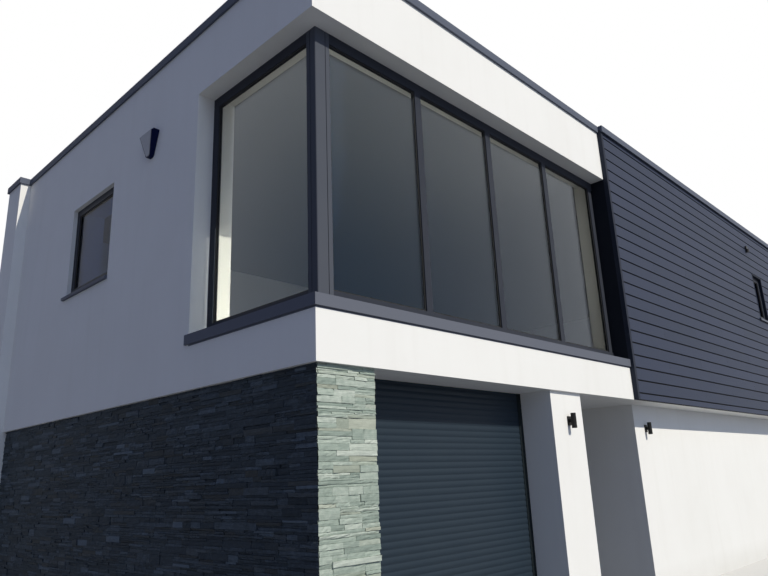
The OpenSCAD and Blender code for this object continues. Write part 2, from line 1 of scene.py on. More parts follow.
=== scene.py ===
"""Dresses a packed two-storey house and sets up its studio.

A white rendered box stands on split ledge stone, beside a volume of brushed anthracite boards.
Everything is in metres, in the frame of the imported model: +X along the front, +Z up, origin at
the centre of the footprint on the ground.  Wall surfaces are worked out in the wall's own axes:
u to the right as seen from outside, z up, and out towards the viewer.
"""

import json
import logging
from dataclasses import dataclass, field
from enum import Enum
from functools import cache
from math import radians

import bpy
import numpy as np
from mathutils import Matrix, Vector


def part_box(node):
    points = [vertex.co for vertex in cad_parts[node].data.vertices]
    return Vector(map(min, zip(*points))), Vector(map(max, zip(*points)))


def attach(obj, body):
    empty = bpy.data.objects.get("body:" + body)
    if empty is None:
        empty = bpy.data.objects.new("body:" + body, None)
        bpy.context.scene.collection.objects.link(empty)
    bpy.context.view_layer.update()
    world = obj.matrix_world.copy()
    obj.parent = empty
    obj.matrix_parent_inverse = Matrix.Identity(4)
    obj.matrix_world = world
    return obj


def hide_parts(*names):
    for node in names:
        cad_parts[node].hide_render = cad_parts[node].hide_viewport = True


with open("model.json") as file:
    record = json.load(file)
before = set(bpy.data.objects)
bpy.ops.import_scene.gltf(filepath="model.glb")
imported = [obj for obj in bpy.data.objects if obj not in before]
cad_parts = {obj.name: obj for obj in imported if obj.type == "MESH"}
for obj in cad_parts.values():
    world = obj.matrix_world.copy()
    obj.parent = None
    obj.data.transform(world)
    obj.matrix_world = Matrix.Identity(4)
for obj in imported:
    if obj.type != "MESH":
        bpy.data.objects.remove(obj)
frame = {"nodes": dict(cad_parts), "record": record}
log = logging.getLogger("house")

Box = tuple[np.ndarray, np.ndarray]
Tree = bpy.types.NodeTree
Node = bpy.types.Node
Socket = bpy.types.NodeSocket

# What noise mostly lies between
NOISE = (0.3, 0.7)


def linear(hex_colour: str) -> tuple[float, float, float, float]:
    """Turns an sRGB hex colour to linear RGBA: a line below 0.04045, above it a power of 2.4.

    Args:
        hex_colour: The colour as "#rrggbb".

    Returns:
        Linear red, green and blue, with an alpha of 1.
    """
    srgb = np.array([*bytes.fromhex(hex_colour[1:])]) / 255
    rgb = np.where(srgb <= 0.04045, srgb / 12.92, ((srgb + 0.055) / 1.055) ** 2.4)
    return (*map(float, rgb), 1.0)


def put(tree: Tree, kind: str, *feeds: object, **named: object) -> Node:
    """Adds one shader node with its settings and links.

    Args:
        tree: The node tree that gets it.
        kind: The node's type, without "ShaderNode".
        feeds: What the inputs that it shows get, from the top.  A value is set, a socket is
            linked, and a node is linked by the first output that it shows.
        named: What inputs get by name, and the node's own settings.

    Returns:
        The new node.
    """
    node = tree.nodes.new("ShaderNode" + kind)
    for name in [name for name in named if name not in node.inputs]:
        setattr(node, name, named.pop(name))
    pairs = [*zip([socket for socket in node.inputs if socket.enabled], feeds),
             *((node.inputs[name], value) for name, value in named.items())]
    for socket, value in pairs:
        if isinstance(value, Node):
            value = next(output for output in value.outputs if output.enabled)
        if isinstance(value, Socket):
            tree.links.new(value, socket)
        else:
            socket.default_value = value
    return node


def looked_at(tree: Tree) -> Node:
    """Tells what the camera, gloss and glass see from what only throws light.

    Args:
        tree: The node tree that gets the nodes.

    Returns:
        A node whose value is 1 for the first and 0 for the second.
    """
    path = put(tree, "LightPath").outputs
    seen = put(tree, "Math", path["Is Camera Ray"], path["Is Glossy Ray"], operation="MAXIMUM")
    return put(tree, "Math", seen, path["Is Transmission Ray"], operation="MAXIMUM")


def upward(tree: Tree) -> Socket:
    """Tells how far a face looks up, from -1 to 1."""
    return put(tree, "SeparateXYZ", put(tree, "NewGeometry").outputs["Normal"]).outputs["Z"]


@dataclass
class Pattern:
    """What a finish's nodes give to its shader.

    Layers are colours that lie over the finish's own, each after the amount that shows.  The
    relief follows the height, and the roughness rises with the gloss, which goes from 0 to 1.
    """

    layers: list[tuple[Node | Socket, str]] = field(default_factory=list)
    height: Node | None = None
    gloss: Node | None = None
    inputs: dict[str, object] = field(default_factory=dict)


@dataclass(frozen=True)
class Finish:
    """What every surface finish has: a name, a colour, a roughness and the depth of its pattern.

    The relief has a strength and a depth, and the roughness may fall and rise by so much.  Each
    IOR starts from the usual 1.5 of coatings and glass.  Most are matched down from it, because
    the white surround gives a stronger gloss than the house has out of doors.
    """

    title: str
    colour: str
    roughness: float
    relief: float = 0.3
    depth_mm: float = 1.0
    smoother: float = 0.0
    rougher: float = 0.0
    ior: float = 1.5

    def pattern(self, tree: Tree, place: Socket) -> Pattern:
        """Adds the pattern's nodes, which follow the object coordinates."""
        return Pattern()

    def surface(self, tree: Tree, shader: Node) -> Node:
        """Gives the node that goes to the material's output."""
        return shader

    @cache
    def material(self) -> bpy.types.Material:
        """Builds the material the first time, and gives the same one after that.

        Returns:
            The material, with the pattern's layers over its colour in their order.
        """
        made = bpy.data.materials.new(self.title)
        made.use_nodes = True
        tree = made.node_tree
        tree.nodes.clear()
        pattern = self.pattern(tree, put(tree, "TexCoord").outputs["Object"])
        colour = linear(self.colour)
        for amount, over in pattern.layers:
            colour = put(tree, "Mix", amount, colour, linear(over), data_type="RGBA")
        inputs = {"Base Color": colour, "Roughness": self.roughness, "IOR": self.ior}
        if pattern.gloss:
            inputs["Roughness"] = put(tree, "MapRange", pattern.gloss, 0.0, 1.0,
                                      self.roughness - self.smoother,
                                      self.roughness + self.rougher)
        if pattern.height:
            inputs["Normal"] = put(tree, "Bump", Height=pattern.height, Strength=self.relief,
                                   Distance=self.depth_mm / 1000)
        shader = put(tree, "BsdfPrincipled", **(inputs | pattern.inputs))
        put(tree, "OutputMaterial", self.surface(tree, shader))
        return made


@dataclass(frozen=True, kw_only=True)
class MineralRender(Finish):
    """Floated silicone render: a matt grain, faint clouds, rain marks and a splashed foot."""

    relief: float = 0.22
    depth_mm: float = 1.5
    stain: str = "#c9c5ba"
    grain_mm: float = 9.0
    cloud_mm: float = 1100.0
    streak_mm: float = 130.0
    stretch: float = 14.0
    foot_m: float = 0.32
    most_cloud: float = 0.10
    most_streak: float = 0.07
    most_splash: float = 0.55

    def pattern(self, tree: Tree, place: Socket) -> Pattern:
        """Stain = clouds + streaks drawn out downwards + a band at the foot, all weak.

        Args:
            tree: The node tree.
            place: Object coordinates.

        Returns:
            The pattern.
        """
        cloud = put(tree, "TexNoise", place, 1000 / self.cloud_mm, 5.0, 0.6)
        across = 1000 / self.streak_mm
        fall = put(tree, "Mapping", place, Scale=(across, across, across / self.stretch))
        streak = put(tree, "TexNoise", fall, 1.0, 3.0)
        height = put(tree, "SeparateXYZ", place).outputs["Z"]
        foot = put(tree, "MapRange", height, 0.0, self.foot_m, self.most_splash, 0.0)
        clouded = put(tree, "MapRange", cloud, 0.4, 0.75, 0.0, self.most_cloud)
        streaked = put(tree, "MapRange", streak, 0.5, 0.8, 0.0, self.most_streak)
        splashed = put(tree, "Math", foot, cloud, operation="MULTIPLY")
        marks = put(tree, "Math", clouded, streaked, operation="ADD")
        amount = put(tree, "Math", marks, splashed, operation="ADD", use_clamp=True)
        # Grains of 1.5 mm, drawn six times coarser so that they show
        grain = put(tree, "TexNoise", place, 1000 / self.grain_mm, 2.0)
        return Pattern([(amount, self.stain)], grain)


@dataclass(frozen=True, kw_only=True)
class SplitStone(Finish):
    """Split ledge stone: each piece has its own tone, with fine bedding along its length.

    The colour is the darkest of the three that the tone runs through.
    """

    relief: float = 0.6
    depth_mm: float = 4.0
    smoother: float = 0.18
    rougher: float = 0.12
    ior: float = 1.4
    middle: str
    pale: str
    warm: str
    bed_mm: float = 7.0
    breaks_per_m: float = 9.0
    bed_shift: float = 0.17
    blotches_per_m: float = 28.0
    blotch_shift: float = 0.12
    warm_from: float = 0.78
    most_warm: float = 0.6

    def pattern(self, tree: Tree, place: Socket) -> Pattern:
        """Colour goes dark, middle, pale with the piece's tone, and warm where its hue is high.

        Args:
            tree: The node tree.
            place: Object coordinates.

        Returns:
            The pattern.
        """
        tone, hue = (put(tree, "Attribute", attribute_name=name).outputs["Fac"]
                     for name in ("tone", "hue"))
        along = self.breaks_per_m
        beds = put(tree, "Mapping", place, Scale=(along, along, 1000 / self.bed_mm))
        bed = put(tree, "TexNoise", beds, 1.0, 5.0, 0.7)
        blotch = put(tree, "TexNoise", place, self.blotches_per_m, 4.0)
        shift = put(tree, "MapRange", bed, *NOISE, -self.bed_shift, self.bed_shift)
        mottle = put(tree, "MapRange", blotch, *NOISE, -self.blotch_shift, self.blotch_shift)
        shifted = put(tree, "Math", tone, shift, operation="ADD")
        level = put(tree, "Math", shifted, mottle, operation="ADD")
        low = put(tree, "MapRange", level, 0.0, 0.5)
        high = put(tree, "MapRange", level, 0.5, 1.0)
        rust = put(tree, "MapRange", hue, self.warm_from, 1.0, 0.0, self.most_warm)
        return Pattern([(low, self.middle), (high, self.pale), (rust, self.warm)], bed, blotch)


@dataclass(frozen=True, kw_only=True)
class BrushedBoard(Finish):
    """Coated cladding board: fine brushed lines along it, a slightly different shade from board to
    board, and near-black painted shade on its faces in the joints."""

    relief: float = 0.35
    smoother: float = 0.1
    rougher: float = 0.12
    ior: float = 1.4
    faded: str
    painted_joint_shade: str = "#08090b"
    line_mm: float = 6.0
    stretch: float = 60.0
    line_shift: float = 0.3

    def pattern(self, tree: Tree, place: Socket) -> Pattern:
        """Lines = noise drawn out along the board, tone = the board's own; joint faces get painted
        shade.

        Args:
            tree: The node tree.
            place: Object coordinates.

        Returns:
            The pattern.
        """
        tone, edge = (put(tree, "Attribute", attribute_name=name).outputs["Fac"]
                      for name in ("tone", "edge"))
        # Brush marks of 1 mm, drawn six times coarser so that they show
        across = 1000 / self.line_mm
        along = across / self.stretch
        drawn = put(tree, "Mapping", place, Scale=(along, along, across))
        line = put(tree, "TexNoise", drawn, 1.0, 4.0, 0.65)
        spread = put(tree, "MapRange", line, *NOISE, -self.line_shift, self.line_shift)
        amount = put(tree, "Math", tone, spread, operation="ADD", use_clamp=True)
        # The edge mask brings the near-black painted joint shade onto faces in the joints
        return Pattern([(amount, self.faded), (edge, self.painted_joint_shade)], line, line)


@dataclass(frozen=True, kw_only=True)
class PowderCoat(Finish):
    """Powder-coated metal: an even satin skin with a faint orange peel, and dust on top."""

    relief: float = 0.06
    depth_mm: float = 0.6
    smoother: float = 0.07
    rougher: float = 0.1
    ior: float = 1.4
    dust: str = "#8d8b86"
    clouds_per_m: float = 3.3
    least_dust: float = 0.07
    most_dust: float = 0.42
    peel_mm: float = 5.0

    def pattern(self, tree: Tree, place: Socket) -> Pattern:
        """Dust = how far the face looks up, times clouds of 0.3 m, plus a trace everywhere.

        Args:
            tree: The node tree.
            place: Object coordinates.

        Returns:
            The pattern.
        """
        lying = put(tree, "MapRange", upward(tree), 0.3, 1.0, self.least_dust, self.most_dust)
        cloud = put(tree, "TexNoise", place, self.clouds_per_m, 5.0)
        amount = put(tree, "Math", lying, cloud, operation="MULTIPLY")
        # Orange peel of 2 mm, drawn coarser so that it shows
        peel = put(tree, "TexNoise", place, 1000 / self.peel_mm, 1.0)
        return Pattern([(amount, self.dust)], peel, cloud)


@dataclass(frozen=True, kw_only=True)
class Screed(Finish):
    """Floated concrete or screed, cloudy above, with a smooth pale ceiling below."""

    relief: float = 0.1
    depth_mm: float = 2.0
    worn: str = "#3c3b39"
    ceiling: str = "#efeeea"
    clouds_per_m: float = 2.0
    most_worn: float = 0.16

    def pattern(self, tree: Tree, place: Socket) -> Pattern:
        """Clouds of 0.5 m with grains; faces that look down get the ceiling's colour.

        Args:
            tree: The node tree.
            place: Object coordinates.

        Returns:
            The pattern.
        """
        cloud = put(tree, "TexNoise", place, self.clouds_per_m, 8.0, 0.6)
        shade = put(tree, "MapRange", cloud, *NOISE, 0.0, self.most_worn)
        below = put(tree, "MapRange", upward(tree), -0.6, -0.4, 1.0, 0.0)
        return Pattern([(shade, self.worn), (below, self.ceiling)], cloud)


@dataclass(frozen=True, kw_only=True)
class Speckled(Finish):
    """A plain moulded or rolled surface with a fine grain: membrane, rubber or plastic."""

    smoother: float = 0.06
    rougher: float = 0.06
    ior: float = 1.4
    depth_mm: float = 0.1
    fleck: str
    grain_mm: float = 3.0
    most_fleck: float = 0.5

    def pattern(self, tree: Tree, place: Socket) -> Pattern:
        """The fleck's colour comes in with clouds ten grains wide; the grain itself is bump.

        Args:
            tree: The node tree.
            place: Object coordinates.

        Returns:
            The pattern.
        """
        grain = put(tree, "TexNoise", place, 1000 / self.grain_mm, 2.0)
        cloud = put(tree, "TexNoise", place, 100 / self.grain_mm, 6.0)
        amount = put(tree, "MapRange", cloud, 0.35, 0.7, 0.0, self.most_fleck)
        return Pattern([(amount, self.fleck)], grain, cloud)


@dataclass(frozen=True, kw_only=True)
class BrushedSteel(Finish):
    """Satin stainless steel, ground along its length.

    The grinding marks are 0.3 mm wide, and drawn coarser so that they show.
    """

    relief: float = 0.08
    depth_mm: float = 0.3
    smoother: float = 0.1
    rougher: float = 0.15
    marks_per_m: tuple[float, float, float] = (600.0, 600.0, 12.0)

    def pattern(self, tree: Tree, place: Socket) -> Pattern:
        """Marks = noise drawn out along z, in the roughness and a faint bump."""
        line = put(tree, "TexNoise", put(tree, "Mapping", place, Scale=self.marks_per_m), 1.0, 2.0)
        return Pattern([], line, line, {"Metallic": 1.0})


@dataclass(frozen=True, kw_only=True)
class SolarGlass(Finish):
    """Coated glass, rolled almost flat; daylight passes it without being bent."""

    depth_mm: float = 4.0
    ior: float = 1.3
    shade: str
    # Tints what the glass mirrors blue: a painted sky reflection
    painted_blue_gloss: str
    wave_mm: float = 420.0

    def pattern(self, tree: Tree, place: Socket) -> Pattern:
        """Toughening leaves waves half a metre long, which bend the reflections a little."""
        inputs = {"Transmission Weight": 1.0, "Specular Tint": linear(self.painted_blue_gloss)}
        return Pattern([], put(tree, "TexNoise", place, 1000 / self.wave_mm, 0.0), inputs=inputs)

    def surface(self, tree: Tree, shader: Node) -> Node:
        """Lets shadow rays through, so that the rooms behind are lit.

        Args:
            tree: The node tree.
            shader: The glass as it is seen.

        Returns:
            The shader that lets them through.
        """
        clear = put(tree, "BsdfTransparent", linear(self.shade))
        return put(tree, "MixShader", put(tree, "LightPath").outputs["Is Shadow Ray"], shader,
                   clear)


@dataclass(frozen=True, kw_only=True)
class StudioFloor(Finish):
    """The studio's matt floor: pale to the eye, and a middle grey for what it throws back."""

    seen: str = "#d2d1ce"

    def pattern(self, tree: Tree, place: Socket) -> Pattern:
        """Shows the seen colour to the camera, and in gloss and glass."""
        return Pattern([(looked_at(tree), self.seen)])


# White silicone render, floated by hand: fine grains that leave it quite matt
RENDER = MineralRender("silicone_render_white", "#f1f0ec", 0.92)
# Green-grey quartzite strips, split: rough beds, pale in the sun on the front
STONE_FRONT = SplitStone("split_quartzite_pale", "#77857d", 0.8, middle="#9ba89d",
                         pale="#c2cabf", warm="#a8a996")
# Left face strips: the front's stone made darker, partly a darker stone, partly painted shade
STONE_LEFT_DARK_AND_SHADED = SplitStone("split_slate_dark", "#2c333a", 0.8, middle="#3f474e", pale="#66717a",
                        warm="#4a4b48", ior=1.15)
# Cement adhesive, combed on behind the strips: coloured dark as painted shade in the joints
ADHESIVE_PAINTED_SHADE = Speckled("cement_adhesive", "#3a3c3c", 0.95, fleck="#4a4b49", depth_mm=0.6)
# Anthracite composite boards, wire-brushed: matt, with a soft sheen along the marks
BOARD = BrushedBoard("composite_board_anthracite", "#2f3645", 0.55, faded="#3a4156", ior=1.2)
# Woven breather membrane in the cavity: black, so that the open joints are dark lines
CAVITY = Speckled("breather_membrane_black", "#0d0e11", 0.9, fleck="#131417", grain_mm=2.0,
                  depth_mm=0.3)
# Polyester powder baked on aluminium profiles: the even anthracite satin of the windows
WINDOW_COAT = PowderCoat("powder_coated_aluminium", "#31353f", 0.45, ior=1.12)
# The post's cover, powder-coated smooth: painted paler, a painted highlight for the sun's glare
POST_COAT_PAINTED_GLARE = PowderCoat("powder_coated_post", "#51555e", 0.5, ior=1.06)
# Pressed aluminium sills, powder-coated: painted paler, a painted sheen of the sky they mirror
SILL_COAT_PAINTED_SHEEN = PowderCoat("powder_coated_sill", "#686c77", 0.42, ior=1.06)
# Folded aluminium flashings, powder-coated: nearly the windows' dark satin, but flatter
TRIM_COAT = PowderCoat("powder_coated_trim", "#2f3440", 0.45, ior=1.06)
# The recess's lining sheet, powder-coated matt: made nearly black as painted shade
FLANK_COAT_PAINTED_SHADE = PowderCoat("powder_coated_lining", "#1a1e26", 0.6, dust="#43454a", ior=1.15)
# Folded aluminium copings, powder-coated: a mid grey line that ends the walls at the top
COPING_COAT = PowderCoat("powder_coated_coping", "#5f6573", 0.45, ior=1.06)
# Aluminium slats, coil-coated and roll-formed: slate grey, with a gleam along each curve
SHUTTER_COAT = PowderCoat("coil_coated_slats", "#27323d", 0.42, dust="#56605f", ior=1.18)
# The rails at their sides, coil-coated too: much darker than the slats, and matt
GUIDE_COAT = PowderCoat("coil_coated_rails", "#161d21", 0.6, dust="#43494b", ior=1.2)
# The entrance door's skins, powder-coated: a smooth anthracite satin
DOOR_COAT = PowderCoat("powder_coated_door", "#363a41", 0.42)
# The wall lights' cast bodies, powder-coated black: small dark shapes with a dull rim
LIGHT_COAT = PowderCoat("black_powder_coat", "#18191b", 0.45, dust="#5c5b58", ior=1.25)
# Concrete slabs under a floated screed: grey floors, with skimmed white ceilings below
CONCRETE = Screed("floated_screed", "#3d3b38", 0.85)
# The roof's slab: its ceiling painted grey, painted shade that makes the rooms look dim
ROOF_SLAB_PAINTED_SHADE = Screed("plasterboard_lined_slab", "#8e8b85", 0.85, ceiling="#84827e")
# Roofing membrane, rolled with a fleece grain: an even mid grey, quite dull
MEMBRANE = Speckled("roofing_membrane_grey", "#6a6d70", 0.78, fleck="#7b7d7e", grain_mm=14.0,
                    depth_mm=0.8)
# Large float-glass units, coated: clear; their faint mirror image gets a painted blue sky tint
GLASS = SolarGlass("coated_float_glass", "#ebeeed", 0.0, shade="#f5f7f6", painted_blue_gloss="#7cbcff")
# Small units painted blue and dark, in body and mirror image: painted reflection of blue sky
SMALL_GLASS_PAINTED_SKY = SolarGlass("coated_tinted_glass", "#647cae", 0.0, shade="#9fb4d4",
                          painted_blue_gloss="#5aa0ff", ior=1.1)
# Acid-etched glass in the wall lights: white and soft, with no clear mirror image
LAMP_GLASS = Speckled("frosted_lamp_glass", "#dcdedd", 0.35, fleck="#c8cbcb", grain_mm=2.0)
# The bell box's cover, moulded in polycarbonate: navy, with a fine spark-eroded grain
BELL_BLUE = Speckled("moulded_polycarbonate_navy", "#0d1639", 0.4, fleck="#131c44", ior=1.15)
# Its front panel, from the same kind of mould: pale grey against the navy
BELL_GREY = Speckled("moulded_polycarbonate_grey", "#b6b8bd", 0.42, fleck="#a9abb1", ior=1.15)
# The wall sensor, moulded in ABS: a black dot on the boards, faintly grained
SENSOR_BLACK = Speckled("moulded_abs_black", "#1f2023", 0.45, fleck="#27282c")
# Extruded EPDM gaskets: a dull black line between glass and frame
RUBBER = Speckled("epdm_rubber", "#17181a", 0.7, fleck="#202123", grain_mm=2.0)
# Stainless steel, ground along the grain: bright, with its highlight drawn out
STEEL = BrushedSteel("stainless_steel_satin", "#a9abad", 0.3)

# What each slot of the record is finished with, and each node that departs from its slot
FINISH_OF: dict[str, Finish] = {
    "white_render": RENDER, "split_stone": STONE_LEFT_DARK_AND_SHADED, "concrete": CONCRETE,
    "roof_covering": MEMBRANE, "board_cladding": BOARD, "trim_metal": TRIM_COAT,
    "coping_metal": COPING_COAT, "window_metal": WINDOW_COAT, "glazing": GLASS,
    "shutter_metal": SHUTTER_COAT, "door_metal": DOOR_COAT, "handle_steel": STEEL,
    "light_metal": LIGHT_COAT, "bell_plastic": BELL_BLUE, "bell_front": BELL_GREY,
    "sensor_plastic": SENSOR_BLACK,
    "corner_sill": SILL_COAT_PAINTED_SHEEN, "window_sills": SILL_COAT_PAINTED_SHEEN, "corner_post": POST_COAT_PAINTED_GLARE,
    "cladding_flank": FLANK_COAT_PAINTED_SHADE, "roof_deck": ROOF_SLAB_PAINTED_SHADE, "window_glass": SMALL_GLASS_PAINTED_SKY,
    "shutter_guides": GUIDE_COAT,
}


def add(name: str, data: bpy.types.ID) -> bpy.types.Object:
    """Adds a mesh, a lamp or a camera to the scene as an object at the origin."""
    bpy.context.scene.collection.objects.link(made := bpy.data.objects.new(name, data))
    return made


def rows_of(*columns: float | np.ndarray) -> np.ndarray:
    """Sets columns side by side along a last axis; a single number fills its column."""
    return np.stack(np.broadcast_arrays(*columns), -1)


def round_rectangles(a0: np.ndarray, a1: np.ndarray, b0: np.ndarray,
                     b1: np.ndarray) -> np.ndarray:
    """Goes round n rectangles: (a0, b0), (a1, b0), (a1, b1), (a0, b1)."""
    return np.stack([rows_of(a0, b0), rows_of(a1, b0), rows_of(a1, b1), rows_of(a0, b1)], 1)


def grid_faces(shape: tuple[int, int], closed: tuple[bool, bool] = (False, True)) -> np.ndarray:
    """Joins a grid of points, numbered row by row, into four-cornered faces.

    Args:
        shape: How many rows and columns of points there are.
        closed: Whether the last row joins the first, and the last column the first.

    Returns:
        For each face a point, the next in its row, and the two of the following row.
    """
    numbers = np.pad(np.arange(shape[0] * shape[1]).reshape(shape),
                     [(0, int(joins)) for joins in closed], "wrap")
    return np.stack([numbers[:-1, :-1], numbers[:-1, 1:], numbers[1:, 1:], numbers[1:, :-1]],
                    -1).reshape(-1, 4)


def repeated(faces: np.ndarray, count: int, points: int) -> np.ndarray:
    """Repeats the faces of one form for a number of forms with so many points each."""
    return (faces + points * np.arange(count)[:, None, None]).reshape(-1, 4)


@dataclass
class Surface:
    """Points and four-cornered faces, with one value per face for each named mark."""

    points: np.ndarray
    quads: np.ndarray
    marks: dict[str, np.ndarray] = field(default_factory=dict)

    @staticmethod
    def joined(parts: list["Surface"]) -> "Surface":
        """Puts several surfaces without marks into one, with their faces renumbered.

        Args:
            parts: The surfaces.

        Returns:
            The one surface.
        """
        starts = np.cumsum([0] + [len(part.points) for part in parts[:-1]])
        return Surface(np.concatenate([part.points for part in parts]),
                       np.concatenate([part.quads + start for part, start in zip(parts, starts)]))

    def added(self, name: str, finish: Finish) -> bpy.types.Object:
        """Adds the surface to the scene.

        Args:
            name: The object's name.
            finish: What it is finished with.

        Returns:
            The new object.
        """
        mesh = bpy.data.meshes.new(name)
        mesh.from_pydata(self.points.tolist(), [], self.quads.tolist())
        for title, values in self.marks.items():
            store = mesh.attributes.new(title, "FLOAT", "FACE")
            store.data.foreach_set("value", values.astype(np.float32))
        mesh.validate()
        mesh.materials.append(finish.material())
        log.info("%s: %d faces, %s", name, len(self.quads), finish.title)
        return add(name, mesh)

    def piece(self, name: str, finish: Finish, slot: str, stands_for: tuple[str, ...] = (),
              turned: bool = False) -> None:
        """Makes the surface a piece of the house, which rides on it.

        Args:
            name: The piece's name.
            finish: What it is finished with.
            slot: The record's material slot; not used.
            stands_for: The nodes of the model that it replaces.
            turned: Whether it is a turned form, which is shaded smooth and closed at its pole.
        """
        made = self.added(name, finish)
        if turned:
            made.data.shade_smooth()
            made.data.set_sharp_from_angle(angle=radians(30))
            made.modifiers.new("pole", "WELD").merge_threshold = 1e-6
        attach(made, "root")
        if stands_for:
            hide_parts(*stands_for)


class Side(Enum):
    """The four faces of the house, with the direction of u and the one that looks outwards."""

    FRONT = ((1, 0, 0), (0, -1, 0))
    RIGHT = ((0, 1, 0), (1, 0, 0))
    REAR = ((-1, 0, 0), (0, 1, 0))
    LEFT = ((0, -1, 0), (-1, 0, 0))


class End(Enum):
    """An end of a wall: its place in a pair or a row, and the way that leads away from it."""

    START = (0, 1)
    STOP = (-1, -1)


@dataclass(frozen=True)
class Wall:
    """A wall's own axes: u to the right, z up and out towards the viewer, from one corner."""

    side: Side
    corner: tuple[float, float] = (0.0, 0.0)

    @property
    def axes(self) -> np.ndarray:
        """Gives the directions of u, z and out as rows."""
        along, outwards = self.side.value
        return np.array([along, (0, 0, 1), outwards], float)

    def place(self, local: np.ndarray) -> np.ndarray:
        """Moves points (u, z, out) to the model: corner + u * along + z * up + out * outwards."""
        return (local @ self.axes + np.array([*self.corner, 0.0])).reshape(-1, 3)

    def measure(self, solid: Box) -> Box:
        """Gives a box's lowest and highest u, z and out in this wall's axes."""
        ends = (np.stack(solid) - np.array([*self.corner, 0.0])) @ self.axes.T
        return ends.min(0), ends.max(0)

    def prisms(self, profiles: np.ndarray, ends: np.ndarray) -> Surface:
        """Carries closed profiles along u and closes both ends.

        A profile runs anticlockwise in the plane of z and out.  Its k points are set at both
        ends, the faces join point i to point i + 1, and the ends are fans of four-cornered
        faces, so k is even and the profile convex.

        Args:
            profiles: n profiles of k points (z, out).
            ends: n pairs of the lowest and highest u.

        Returns:
            The n prisms as one surface.
        """
        n, k, _ = profiles.shape
        local = np.empty((n, 2, k, 3))
        local[..., 0] = ends[:, :, None]
        local[..., 1:] = profiles[:, None]
        first = np.arange(1, k - 2, 2)
        fan = rows_of(0, first, first + 1, first + 2)
        one = np.concatenate([grid_faces((2, k)), fan + k, fan[:, ::-1]])
        return Surface(self.place(local), repeated(one, n, 2 * k))

    def blocks(self, boxes: np.ndarray) -> Surface:
        """Makes plain blocks from rows of u0, u1, z0, z1, out0 and out1."""
        return self.prisms(round_rectangles(*boxes[:, 2:].T), boxes[:, :2])

    def rings(self, rects: np.ndarray, width: float, back: np.ndarray,
              front: np.ndarray) -> Surface:
        """Lays a bar round the inside of each rectangle, mitred at the corners.

        The bar's section has four points: outer back, outer front, inner front, inner back.
        They are set at the four corners of the rectangle, moved inwards by the width for the
        inner ones, and faces join each corner to the next.

        Args:
            rects: n rows of u0, u1, z0, z1.
            width: How wide the bar is, inwards.
            back: The n bars' lowest out.
            front: Their highest out.

        Returns:
            The n rings as one surface.
        """
        corners = round_rectangles(*rects.T)
        inwards = np.array([[1, 1], [-1, 1], [-1, -1], [1, -1]], float)
        local = np.empty((len(rects), 4, 4, 3))
        local[:, :, :2, :2] = corners[:, :, None]
        local[:, :, 2:, :2] = (corners + width * inwards)[:, :, None]
        local[:, :, [0, 3], 2] = back[:, None, None]
        local[:, :, [1, 2], 2] = front[:, None, None]
        # The section runs the other way round from the corners, so the faces are turned over
        one = grid_faces((4, 4), (True, True))[:, [0, 3, 2, 1]]
        return Surface(self.place(local), repeated(one, len(rects), 16))


def solids_of(node: str) -> list[Box]:
    """Finds the separate solids of a node of the model.

    Points that coincide are taken as one.  Each point then takes the lowest number among its
    neighbours over and over, until every solid has one number.

    Args:
        node: The node's name.

    Returns:
        For each solid its lowest and highest corner, from low x to high x.
    """
    mesh = frame["nodes"][node].data
    points = np.empty(3 * len(mesh.vertices), np.float32)
    mesh.vertices.foreach_get("co", points)
    edges = np.empty(2 * len(mesh.edges), np.int32)
    mesh.edges.foreach_get("vertices", edges)
    places, number = np.unique(points.reshape(-1, 3).round(5), axis=0, return_inverse=True)
    ends = number.ravel()[edges].reshape(-1, 2)
    label, before = np.arange(len(places)), None
    while not np.array_equal(label, before):
        before = label.copy()
        for end in ends.T:
            np.minimum.at(label, end, before[ends].min(1))
    groups = [places[label == value] for value in np.unique(label)]
    return sorted([(group.min(0), group.max(0)) for group in groups],
                  key=lambda solid: tuple(solid[0]))


def edges_of(node: str) -> Box:
    """Gives a node's lowest and highest corner as arrays."""
    low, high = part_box(node)
    return np.array(low), np.array(high)


